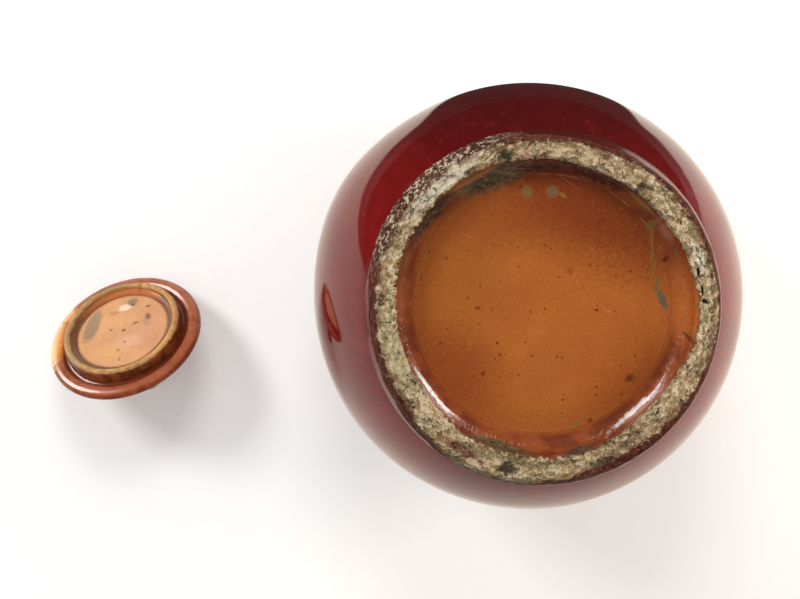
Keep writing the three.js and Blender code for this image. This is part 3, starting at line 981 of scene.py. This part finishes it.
class JAR_OT_body(bpy.types.Operator):
    """Sweeps the glazed body with its neck and lip"""

    bl_idname = "jar.make_body"
    bl_label = "Jar Body"

    def execute(self, context):
        sizes = context.scene.jar_sizes
        lower_half = half_height(FOOT_ROOT_RADIUS, FOOT_ROOT_LEVEL - BELLY_LEVEL)
        upper_half = half_height(sizes.neck_radius, BELLY_LEVEL - NECK_HEIGHT)
        inner_r = BELLY_RADIUS - sizes.wall
        lip = 2.5 * MM
        throat = LIP_RADIUS - lip - sizes.neck_radius
        seat = sizes.recess_radius + DISH_WALL + SEAM
        under_ring = FOOT_ROOT_LEVEL - 2 * SEAM
        inner_top = math.degrees(math.asin((BASE_UNDERSIDE - BELLY_LEVEL) / (lower_half - sizes.wall)))
        neck_turn = angle_at(sizes.neck_radius, BELLY_RADIUS)
        foot_turn = angle_at(FOOT_ROOT_RADIUS + CLIMB_THICKNESS + 0.03 * MM, BELLY_RADIUS)
        mouth_turn = angle_at(sizes.mouth_radius, inner_r)
        outside = [point(sizes.mouth_radius + 1.5 * MM, 0)]
        outside += arc(LIP_RADIUS - lip, lip, lip, lip, -90, 90, 12)
        outside += arc(LIP_RADIUS - lip, 3 * lip, throat, 2 * lip, 270, 180, 8)[1:]
        outside += arc(0, BELLY_LEVEL, BELLY_RADIUS, upper_half, -neck_turn, 0, 110)
        outside += arc(0, BELLY_LEVEL, BELLY_RADIUS, lower_half, 0, foot_turn, 90)[1:]
        inside = [point(FOOT_ROOT_RADIUS - 2 * MM, under_ring), point(seat, under_ring)]
        inside += [point(seat, BASE_UNDERSIDE)]
        inside += arc(0, BELLY_LEVEL, inner_r, lower_half - sizes.wall, inner_top, 0, 30)
        inside += arc(0, BELLY_LEVEL, inner_r, upper_half - sizes.wall, 0, -mouth_turn, 40)[1:]
        inside += [point(sizes.mouth_radius, 1.5 * MM)]
        wall_rise = JAR_HEIGHT - sizes.foot_rounding - FOOT_ROOT_LEVEL
        lean = (FOOT_ROOT_RADIUS - sizes.foot_face_radius) / wall_rise

        def climbing(angle):
            """The glaze up the ring's wall, thinning out to a ragged edge."""
            climb = round_the_ring(GLAZE_CLIMB, math.degrees(angle))[0]
            climb = max(0.9 * MM, climb + ragged_round(angle, (13, 1.6), (40, 0.9)))
            column = []
            for step in range(CLIMB_STEPS + 1):
                share = step / CLIMB_STEPS
                left = CLIMB_THICKNESS * (1 - 1.3 * share ** 3)
                rise = climb * share
                column.append(point(FOOT_ROOT_RADIUS + left - rise * lean, FOOT_ROOT_LEVEL + rise))
            tucked = FOOT_ROOT_RADIUS - climb * lean - CLIMB_TUCK
            return column + [point(tucked, FOOT_ROOT_LEVEL + climb - 0.3 * MM)]

        def outline_at(angle):
            apart = turn_between(SWELLING_TURN, angle)
            bulge = sizes.swelling * math.exp(-(apart / SWELLING_HALF_TURN) ** 2)
            widths = BELLY_RADIUS - FOOT_ROOT_RADIUS

            def swollen(outline):
                return [point(r + bulge * eased((r - FOOT_ROOT_RADIUS) / widths), z) for r, z in outline]
            return swollen(outside) + climbing(angle) + swollen(inside)

        piece = swept("jar_body", outline_at, sharp=28.0)
        nodes = ["body_lower", "body_upper", "neck_and_lip"]
        finish_piece(piece, "jar", nodes, oxblood_glaze(context.scene.finishes))
        return {"FINISHED"}


def rim_path(sizes, angle):
    """Outline of the glaze at a turn, from under the crust over the recess's rim and down its wall."""
    level = JAR_HEIGHT - sizes.crust
    rounding = 1.2 * MM
    lean = sizes.recess_top_radius - sizes.recess_radius
    slope = math.degrees(math.atan2(JAR_HEIGHT - BASE_LEVEL, lean))
    top = sizes.recess_top_radius + rounding + off_axis(angle)
    outline = [point(sizes.glaze_rim, level), point(top + 0.4 * MM, level)]
    outline += arc(top, level - rounding, rounding, rounding, 90, 90 + slope, 10)
    return outline, slope


FLOOR_RINGS = 24


def base_outline(sizes, angle):
    """Outline of the glazed dish at a turn, from under its floor round its rim to its middle."""
    rim, slope = rim_path(sizes, angle)
    cove = sizes.recess_cove
    lean = math.radians(slope)
    last = Vector(rim[-1])
    down = Vector((-math.cos(lean), -math.sin(lean)))
    inward = Vector((-math.sin(lean), math.cos(lean)))
    # The cove's circle touches the wall's line and the floor's level
    run = ((last + inward * cove).y - (BASE_LEVEL + cove)) / -down.y
    centre = last + inward * cove + down * run
    hidden = sizes.recess_radius + DISH_WALL
    outline = [point(0, BASE_UNDERSIDE), point(hidden, BASE_UNDERSIDE), point(hidden, BASE_LEVEL)]
    outline += [point(sizes.glaze_rim, JAR_HEIGHT - 1.6 * MM)] + rim
    outline += arc(centre.x, centre.y, cove, cove, slope - 90, -90, 20)
    # A fine ridge where the turner's tool stopped, then the flat floor
    outline += [point(centre.x + away * MM, BASE_LEVEL + rise * MM) for away, rise in TOOL_RIDGE]
    floor = centre.x - 1.4 * MM
    shares = [1 - index / FLOOR_RINGS for index in range(FLOOR_RINGS + 1)]
    return outline + [point(floor * share, BASE_LEVEL) for share in shares]


# Turn round the ring in degrees, anticlockwise from +X, and in millimetres how far the crust reaches
# in from the glaze's rim, how far it hangs over there and the radius of its outer edge
CRUST_EDGES = (
    (0, 3.3, 0, 78.6), (22, 5.0, 0, 78.0), (38, 8.0, 1.0, 78.0), (70, 6.0, 2.2, 77.0), (92, 4.0, 0.6, 77.5),
    (120, 1.4, 0, 79.6), (160, 1.7, 0, 79.2), (182, 5.0, 0.4, 78.2), (212, 8.0, 1.0, 77.0),
    (226, 6.5, 0.6, 79.0), (240, 5.0, 0, 83.0), (262, 5.6, 0, 82.0), (284, 5.3, 0, 76.4),
    (300, 7.8, 0, 75.2), (320, 10.4, 0.5, 75.9), (335, 7.0, 0.2, 76.5), (346, 3.8, 0, 77.8),
)


def along_path(outline, length):
    """Place and outward direction at a length along an outline."""
    for start, end in zip(outline, outline[1:]):
        step = math.dist(start, end)
        if length <= step or end is outline[-1]:
            direction = (Vector(end) - Vector(start)).normalized()
            return Vector(start) + direction * length, Vector((direction.y, -direction.x))
        length -= step


def crust_relief(place):
    """Height of the crust at a place, from 0 in its deepest cracks to 1 on its highest grains."""
    bent = place + noise.noise_vector(place / (7 * MM)) * 1.2 * MM
    lumps = noise.noise(bent / (5 * MM))
    grains = noise.noise(bent / (1.6 * MM))
    fine = noise.noise(place / (0.8 * MM))
    flake = noise.voronoi(bent / (3.4 * MM))[0]
    cracks = min(1.0, (flake[1] - flake[0]) / 0.12)
    height = 0.68 + 0.3 * lumps + 0.26 * grains + 0.26 * fine
    return max(0.0, min(1.0, height - 0.3 * (1 - cracks)))


# Open pits in the crust: place in millimetres, half length, half width and turn in degrees
CRUST_PITS = (
    (68.5, 18.4, 3.0, 1.0, 100), (70.6, 9.8, 3.4, 0.9, 95), (71.5, 5.0, 1.5, 1.3, 0),
    (-69.5, 12.0, 1.0, 0.7, 0),
)


def pit_depth(place):
    """Depth of the open pits at a place, from 0 to 1."""
    deepest = 0.0
    for x, y, length, width, degrees in CRUST_PITS:
        across = Matrix.Rotation(-math.radians(degrees), 2) @ Vector((place.x / MM - x, place.y / MM - y))
        away = math.hypot(across.x / length, across.y / width)
        deepest = max(deepest, min(1.0, 1.6 - 1.4 * away))
    return deepest


# Seed of the bends in the crust's grain, without which they would come out different in each run
GRAIN_SEED = 7

# Points of the crust inside the glaze's rim, the width over which it thins out at its inner edge, and
# how far the ring's hidden root reaches under the body's glaze
CRUST_STEPS = 30
CRUST_TAPER = 1.3 * MM
ROOT_DEPTH = 2.6 * MM


class JAR_OT_foot_ring(bpy.types.Operator):
    """Sweeps the foot ring and covers it in kiln grit"""

    bl_idname = "jar.make_foot_ring"
    bl_label = "Foot Ring"

    def execute(self, context):
        noise.seed_set(GRAIN_SEED)
        sizes = context.scene.jar_sizes
        rounding = sizes.foot_rounding
        root = FOOT_ROOT_LEVEL - ROOT_DEPTH
        outer = [point(FOOT_ROOT_RADIUS, root), point(FOOT_ROOT_RADIUS, FOOT_ROOT_LEVEL)]
        outer += arc(sizes.foot_face_radius - rounding, JAR_HEIGHT - rounding, rounding, rounding, 0, 90, 6)
        outer += [point(sizes.glaze_rim, JAR_HEIGHT)]
        outer = spaced(outer, 0.5 * MM)
        stored = {"relief": [], "past_edge": [], "to_inner": []}

        def store(*values):
            for numbers, value in zip(stored.values(), values):
                numbers.append(value)

        def roughened(angle, position, outward, edge, inner=20 * MM, thickness=1.0):
            place = Vector((position.x * math.cos(angle), position.x * math.sin(angle), position.y))
            height = crust_relief(place) * (1 - pit_depth(place))
            store(height, position.x - edge, inner)
            return position + outward * (height - 1) * sizes.grit * thickness

        def outline_at(angle):
            rim, slope = rim_path(sizes, angle)
            lean = math.radians(slope)
            rim.append(tuple(Vector(rim[-1]) + Vector((-math.cos(lean), -math.sin(lean))) * 10 * MM))
            reach, overhang, edge = round_the_ring(CRUST_EDGES, math.degrees(angle))
            spread = round_the_ring(GRIT_SPREAD, math.degrees(angle))[0]
            column = []
            for index, current in enumerate(outer):
                after = Vector(outer[min(index + 1, len(outer) - 1)])
                before = Vector(outer[max(index - 1, 0)])
                direction = (after - before).normalized()
                outward = Vector((direction.y, -direction.x))
                up_wall = (current[1] - FOOT_ROOT_LEVEL - 1 * MM) / (JAR_HEIGHT - FOOT_ROOT_LEVEL)
                base = Vector(current) + outward * spread * (1 - eased(up_wall))
                column.append(roughened(angle, base, outward, edge))
            reach = max(0.6 * MM, reach + ragged_round(angle, (14, 1.1), (42, 1.3), (110, 0.9)))
            for index in range(1, CRUST_STEPS + 1):
                length = reach * index / CRUST_STEPS
                position, outward = along_path(rim, length)
                outward = -outward if outward.y < 0 else outward
                left = min(1.0, (reach - length) / CRUST_TAPER)
                body = sizes.crust * (0.25 + 0.75 * left) - (0.3 * MM if index == CRUST_STEPS else 0.0)
                hanging = Vector((overhang * left * eased(-outward.x), 0.0))
                current = position + outward * body - hanging
                column.append(roughened(angle, current, outward, edge, reach - length, 0.35 + 0.65 * left))
            column.append(Vector(column[-1]) + Vector((1.0 * MM, -1.5 * MM)))
            column.append(Vector((sizes.glaze_rim - 0.4 * MM, JAR_HEIGHT - 3 * MM)))
            column.append(Vector((sizes.recess_radius + 4 * MM, root)))
            for hidden in range(3):
                store(0.5, 0.0, 0.0)
            return column

        piece = swept("foot_ring_crusted", outline_at, sharp=180.0)
        for name, values in stored.items():
            rows = len(values) // SIDES[piece.name]
            by_row = [value for row in range(rows) for value in values[row::rows]]
            piece.data.attributes.new(name, "FLOAT", "POINT").data.foreach_set("value", by_row)
        finish_piece(piece, "jar", ["foot_ring"], kiln_crust(context.scene.finishes))
        return {"FINISHED"}


class JAR_OT_base(bpy.types.Operator):
    """Lays the glazed dish of the base inside the foot ring"""

    bl_idname = "jar.make_base"
    bl_label = "Glazed Base"

    def execute(self, context):
        sizes = context.scene.jar_sizes
        piece = swept("base_glazed", lambda angle: base_outline(sizes, angle))
        finish_piece(piece, "jar", ["base_dish"], amber_base_glaze(context.scene.finishes))
        return {"FINISHED"}


def lid_place(collar_height):
    """Place of the lid: its origin on the brim plane, its Z axis out of its underside."""
    top, bottom = middle_of("lid_collar"), middle_of("lid_knob")
    upward = (top - bottom).normalized()
    highest = max(vertex.co.dot(upward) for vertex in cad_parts["lid_collar"].data.vertices)
    origin = top + upward * (highest - collar_height - top.dot(upward))
    side = Vector((0, 0, 1)).cross(upward).normalized()
    axes = Matrix((side, upward.cross(side), upward)).transposed().to_4x4()
    return Matrix.Translation(origin) @ axes


def dome_outline(sizes):
    """Outline of the lid's dome, brim, bead and groove."""
    edge = sizes.brim_edge
    half_r = sizes.brim_radius - edge
    top_angle = angle_at(sizes.dome_top_radius, half_r)
    half_z = sizes.dome_height / math.sin(math.radians(top_angle))
    seat = sizes.collar_radius + SEAM
    groove_end = seat + sizes.groove_width
    bead_half = (sizes.brim_radius - groove_end) / 2
    outline = [point(0, -sizes.dome_height)]
    outline += arc(0, 0, half_r, half_z, -top_angle, -20, 40)
    outline += arc(sizes.brim_radius - edge, -edge, edge, edge, -50, 35, 8)
    outline += arc(groove_end + bead_half, -sizes.groove_depth, bead_half, sizes.bead_height, 36, 180, 18)
    outline += [point(seat + 0.6 * MM, -sizes.groove_depth), point(seat, -0.4 * MM)]
    return outline + [point(seat, -edge), point(0, -edge)]


def collar_outline(sizes):
    """Outline of the collar, from its inner root round its rim."""
    inset = sizes.collar_width / 2
    root = SEAM - sizes.brim_edge
    inner_root = sizes.floor_radius + SEAM
    outline = [point(inner_root, root), point(sizes.collar_radius, root)]
    outline += arc(sizes.collar_radius - inset, sizes.collar_height - inset, inset, inset, 0, 180, 16)
    outline += [point(inner_root + 1.0 * MM, sizes.floor_rise + 1.1 * MM)]
    return outline + [point(inner_root, sizes.floor_rise + 0.4 * MM)]


# Height up to which the collar isn't worn, and the crack across its rim
UNWORN = 3 * MM
NOTCH_TURN = math.atan2(-29.2, -13.3)
NOTCH_HALF_WIDTH = 0.9 * MM
NOTCH_DEPTH = 1.5 * MM


def worn_collar_at(outline, sizes):
    """Outline of the collar at a turn, worn uneven, with one short crack across its rim."""
    def outline_at(angle):
        around = Vector((math.cos(angle), math.sin(angle), 0.0))
        cut = max(0.0, 1 - abs(turn_between(NOTCH_TURN, angle) * sizes.collar_radius) / NOTCH_HALF_WIDTH)
        column = []
        for radius, height in outline:
            share = max(0.0, (height - UNWORN) / (sizes.collar_height - UNWORN))
            wear = noise.noise(around * 2.5 + Vector((0, 0, height / (4 * MM)))) * 0.35 * MM
            chips = noise.noise(around * 16 + Vector((0, 0, height / (3 * MM)))) * 0.16 * MM
            drop = share * (0.3 * MM + wear + chips + cut * NOTCH_DEPTH)
            column.append((radius + share * wear * 0.5, height - max(0.0, drop)))
        return column
    return outline_at


DISC_RINGS = 44


def disc_surface(sizes):
    """Outline of the disc at a turn, with the unevenness of hand pressed clay."""
    radii = [sizes.floor_radius * (1 - index / DISC_RINGS) for index in range(DISC_RINGS + 1)]

    def outline_at(angle):
        root = SEAM - sizes.brim_edge
        column = [point(0, root), point(sizes.floor_radius, root)]
        for radius in radii:
            place = Vector((radius * math.cos(angle), radius * math.sin(angle), 0.0))
            swell = noise.noise(place / (9 * MM)) * 0.3 + noise.noise(place / (2.5 * MM)) * 0.12
            share = min(1.0, radius / (2 * MM))
            column.append(point(radius, sizes.floor_rise + (swell - 0.25) * MM * share))
        return column
    return outline_at


def knob_outline(sizes):
    """Outline of the knob: a round bud, and a short stem that widens where it meets the dome."""
    meet = math.degrees(math.acos(sizes.stem_radius / sizes.knob_radius))
    stem_end = -sizes.dome_height - 0.1 * MM
    outline = arc(0, -sizes.knob_depth, sizes.knob_radius, sizes.knob_radius, -90, meet, 32)
    outline[0] = point(0, outline[0][1])
    outline += arc(sizes.stem_radius + 1.6 * MM, stem_end - 2.4 * MM, 1.6 * MM, 2.4 * MM, 180, 100, 8)
    return outline + [point(sizes.dome_top_radius - 0.3 * MM, stem_end), point(0, stem_end)]


class JAR_OT_lid(bpy.types.Operator):
    """Turns the lid's dome and brim, its collar, its disc and its knob"""

    bl_idname = "jar.make_lid"
    bl_label = "Lid"

    def execute(self, context):
        sizes = context.scene.lid_sizes
        finishes = context.scene.finishes
        place = lid_place(sizes.collar_height)
        glaze = lid_glaze(finishes, place)
        piece = turned("lid_glazed_dome", spaced(dome_outline(sizes), 1 * MM), place)
        finish_piece(piece, "lid", ["lid_dome"], glaze)
        collar = worn_collar_at(spaced(collar_outline(sizes), 0.5 * MM), sizes)
        piece = swept("lid_collar_ring", collar, place, 60.0)
        finish_piece(piece, "lid", ["lid_collar"], worn_collar(finishes, place))
        piece = swept("lid_clay_disc", disc_surface(sizes), place)
        finish_piece(piece, "lid", ["lid_disc"], bare_disc(finishes, place))
        piece = turned("lid_knob_bud", knob_outline(sizes), place)
        finish_piece(piece, "lid", ["lid_knob"], glaze)
        return {"FINISHED"}


# How much the table top glows to the camera and to the glaze, over the light that falls on it
TABLE_GLOW = 0.17

# Where the glaze sees the far part of the table end, from the jar's axis: its nearest distance and how
# much further it lies to the sides, between two distances from its middle
DARK_BEYOND = {"middle": 20 * MM, "nearest": 112 * MM, "further": 73 * MM, "from": 30 * MM, "to": 140 * MM}

# Distances from the jar's axis between which the table fades to plain white for the camera
WHITE_FROM = 330 * MM
WHITE_TO = 650 * MM

# Paper of the table in its darker and lighter fibres, as the glaze mirrors it, and its dark far part
PAPER = ((0.915, 0.9, 0.88, 1.0), (0.945, 0.93, 0.91, 1.0))
MIRRORED_PAPER = (1.0, 0.93, 0.8, 1.0)
UNLIT = (0.02, 0.02, 0.02, 1.0)


def white_floor():
    """White table top, whose far part the glaze shows dark."""
    material, web, shader = new_material("white_table")
    place = web.framed(JAR_FRAME)
    fibres = web.window(web.clouds(place, 900.0, 3.0), 0.3, 0.7)
    x, y = web.split(place)[:2]
    aside = web.maths("ABSOLUTE", web.minus(x, DARK_BEYOND["middle"]))
    bend = web.window(aside, DARK_BEYOND["from"], DARK_BEYOND["to"], 0.0, DARK_BEYOND["further"])
    beyond = web.minus(web.minus(y, bend), DARK_BEYOND["nearest"])
    path = web.add("ShaderNodeLightPath").outputs
    hidden = web.times(web.window(beyond, 0.0, 8 * MM), path["Is Glossy Ray"])
    white = web.blend(path["Is Glossy Ray"], web.blend(fibres, *PAPER), MIRRORED_PAPER)
    web.feed(shader.inputs["Base Color"], web.blend(hidden, white, UNLIT))
    shader.inputs["Roughness"].default_value = 0.6
    shader.inputs["Emission Color"].default_value = (1.0, 1.0, 1.0, 1.0)
    seen = web.most(path["Is Camera Ray"], path["Is Glossy Ray"])
    glow = web.times(web.minus(seen, hidden), TABLE_GLOW)
    far_off = web.times(web.window(radius_of(web, place), WHITE_FROM, WHITE_TO), path["Is Camera Ray"])
    web.feed(shader.inputs["Emission Strength"], web.between(far_off, glow, 1.0))
    return material


# How bright each side of the room is as light on the set
SIDE_LIGHT = {"near": 0.2, "far": 0.1, "right": 1.9, "left": 1.1, "ceiling": 0.36}

# How bright the near side, the far side and the ceiling of the room are as mirrored in the glaze
MIRRORED_ROOM = {"near": 0.4, "far": 0.02, "ceiling": 0.04}

# Windows that only the glaze shows: turn in degrees, lower and upper height and half width on a
# sphere of radius one, and brightness
WINDOWS = ((32, 0.14, 0.4, 0.14, 22.0), (137, 0.06, 0.34, 0.18, 20.0))


def studio_world():
    """White to the camera, with sides of uneven brightness and two windows for the glaze to mirror."""
    world = bpy.data.worlds.new("studio")
    world.use_nodes = True
    bpy.context.scene.world = world
    web = Web(world.node_tree)
    background = world.node_tree.nodes["Background"]
    path = web.add("ShaderNodeLightPath").outputs
    direction = web.add("ShaderNodeTexCoord").outputs["Generated"]
    x, y, z = web.split(direction)
    right = web.window(x, 0.2, 0.95, 0.0, SIDE_LIGHT["right"] - SIDE_LIGHT["near"])
    left = web.window(x, -0.2, -0.95, 0.0, SIDE_LIGHT["left"] - SIDE_LIGHT["near"])
    around = web.plus(web.plus(right, left), SIDE_LIGHT["near"])
    around = web.between(web.window(y, 0.1, 0.75), around, SIDE_LIGHT["far"])
    lighting = web.between(web.window(z, 0.2, 0.75), around, SIDE_LIGHT["ceiling"])
    mirrored = web.between(web.window(y, -0.1, 0.25), MIRRORED_ROOM["near"], MIRRORED_ROOM["far"])
    mirrored = web.between(web.window(z, 0.15, 0.5), mirrored, MIRRORED_ROOM["ceiling"])
    for turn, low, high, half_width, strength in WINDOWS:
        cosine, sine = math.cos(math.radians(turn)), math.sin(math.radians(turn))
        toward = web.maths("MULTIPLY_ADD", x, cosine, web.times(y, sine))
        across = web.maths("ABSOLUTE", web.maths("MULTIPLY_ADD", x, -sine, web.times(y, cosine)))
        pane = web.times(web.window(toward, 0.1, 0.3), web.window(across, half_width + 0.05, half_width))
        pane = web.times(pane, web.times(web.window(z, low - 0.05, low), web.window(z, high + 0.05, high)))
        mirrored = web.maths("MULTIPLY_ADD", pane, strength, mirrored)
    strength = web.between(path["Is Glossy Ray"], lighting, mirrored)
    strength = web.between(path["Is Camera Ray"], strength, 1.0)
    web.feed(background.inputs["Strength"], strength)
    background.inputs["Color"].default_value = (1.0, 1.0, 1.0, 1.0)


# Name, place, target, width, watts and colour of each lamp, and the height of all of them
LAMPS = (
    ("left_lamp", (-0.8, 0.62, 0.9), (0.0, 0, 0.05), 0.35, 8.0, (1.0, 1.0, 1.0)),
    ("right_lamp", (0.62, 0.06, 0.5), (0.1, 0, 0.05), 0.3, 2.2, (1.0, 0.87, 0.76)),
    ("far_lamp", (0.0, 0.8, 0.95), (0.05, 0, 0.1), 0.4, 4.8, (1.0, 1.0, 1.0)),
)
LAMP_HEIGHT = 0.3

# The camera's place from the foot of the jar's axis, in millimetres, and its turns in degrees
CAMERA_PLACE = (-78.27, 55.96, 725.18)
CAMERA_TURNS = (-5.27, -1.18, 0.0)

# Half width and depth of the table, and how far behind the jar's axis it ends
TABLE_REACH = 3.0
TABLE_END = 260 * MM


def soft_lamp(name, place, target, width, watts, colour):
    """A rectangular area lamp aimed at a point, which the glaze doesn't mirror."""
    data = bpy.data.lights.new(name, "AREA")
    data.shape = "RECTANGLE"
    data.size = width
    data.size_y = LAMP_HEIGHT
    data.energy = watts
    data.color = colour
    lamp = bpy.data.objects.new(name, data)
    lamp.location = place
    lamp.rotation_euler = (Vector(target) - Vector(place)).to_track_quat("-Z", "Y").to_euler()
    lamp.visible_glossy = False
    bpy.context.scene.collection.objects.link(lamp)


class JAR_OT_stage(bpy.types.Operator):
    """Sets the table, the lamps, the world and the camera"""

    bl_idname = "jar.make_stage"
    bl_label = "Stage"

    def execute(self, context):
        left, right, near, far = -TABLE_REACH, TABLE_REACH, -TABLE_REACH, JAR_AXIS.y + TABLE_END
        corners = [(left, near, 0), (right, near, 0), (right, far, 0), (left, far, 0)]
        mesh = bpy.data.meshes.new("table_top")
        mesh.from_pydata(corners, [], [(0, 1, 2, 3)])
        table = bpy.data.objects.new("table_top", mesh)
        mesh.materials.append(white_floor())
        context.scene.collection.objects.link(table)
        for lamp in LAMPS:
            soft_lamp(*lamp)
        studio_world()
        camera_data = bpy.data.cameras.new("camera")
        camera_data.sensor_width = SENSOR_WIDTH
        camera_data.lens = FOCAL_PIXELS / PHOTO_WIDTH * SENSOR_WIDTH
        camera = bpy.data.objects.new("camera", camera_data)
        camera.location = JAR_AXIS + Vector(CAMERA_PLACE) * MM
        camera.rotation_euler = [math.radians(turn) for turn in CAMERA_TURNS]
        context.scene.collection.objects.link(camera)
        context.scene.camera = camera
        context.scene.view_settings.view_transform = "Standard"
        return {"FINISHED"}


class JAR_PT_panel(bpy.types.Panel):
    """Buttons that build the jar piece by piece, with its sizes and colours"""

    bl_idname = "JAR_PT_panel"
    bl_label = "Globular Jar"
    bl_space_type = "VIEW_3D"
    bl_region_type = "UI"
    bl_category = "Jar"

    def draw(self, context):
        for operator in OPERATORS:
            self.layout.operator(operator.bl_idname)
        for group in (context.scene.jar_sizes, context.scene.lid_sizes, context.scene.finishes):
            column = self.layout.column()
            for key in group.__annotations__:
                column.prop(group, key)


OPERATORS = (JAR_OT_stage, JAR_OT_body, JAR_OT_foot_ring, JAR_OT_base, JAR_OT_lid)
CLASSES = (JarSizes, LidSizes, Finishes) + OPERATORS + (JAR_PT_panel,)


def register():
    """Registers the classes and hangs the sizes and colours on the scene."""
    for item in CLASSES:
        bpy.utils.register_class(item)
    bpy.types.Scene.jar_sizes = bpy.props.PointerProperty(type=JarSizes)
    bpy.types.Scene.lid_sizes = bpy.props.PointerProperty(type=LidSizes)
    bpy.types.Scene.finishes = bpy.props.PointerProperty(type=Finishes)


def unregister():
    """Takes the sizes, the colours and the classes away again."""
    del bpy.types.Scene.jar_sizes
    del bpy.types.Scene.lid_sizes
    del bpy.types.Scene.finishes
    for item in reversed(CLASSES):
        bpy.utils.unregister_class(item)


def main():
    """Builds the whole scene."""
    register()
    make_effects()
    bpy.ops.jar.make_stage()
    bpy.ops.jar.make_body()
    bpy.ops.jar.make_foot_ring()
    bpy.ops.jar.make_base()
    bpy.ops.jar.make_lid()


if __name__ == "__main__":
    main()
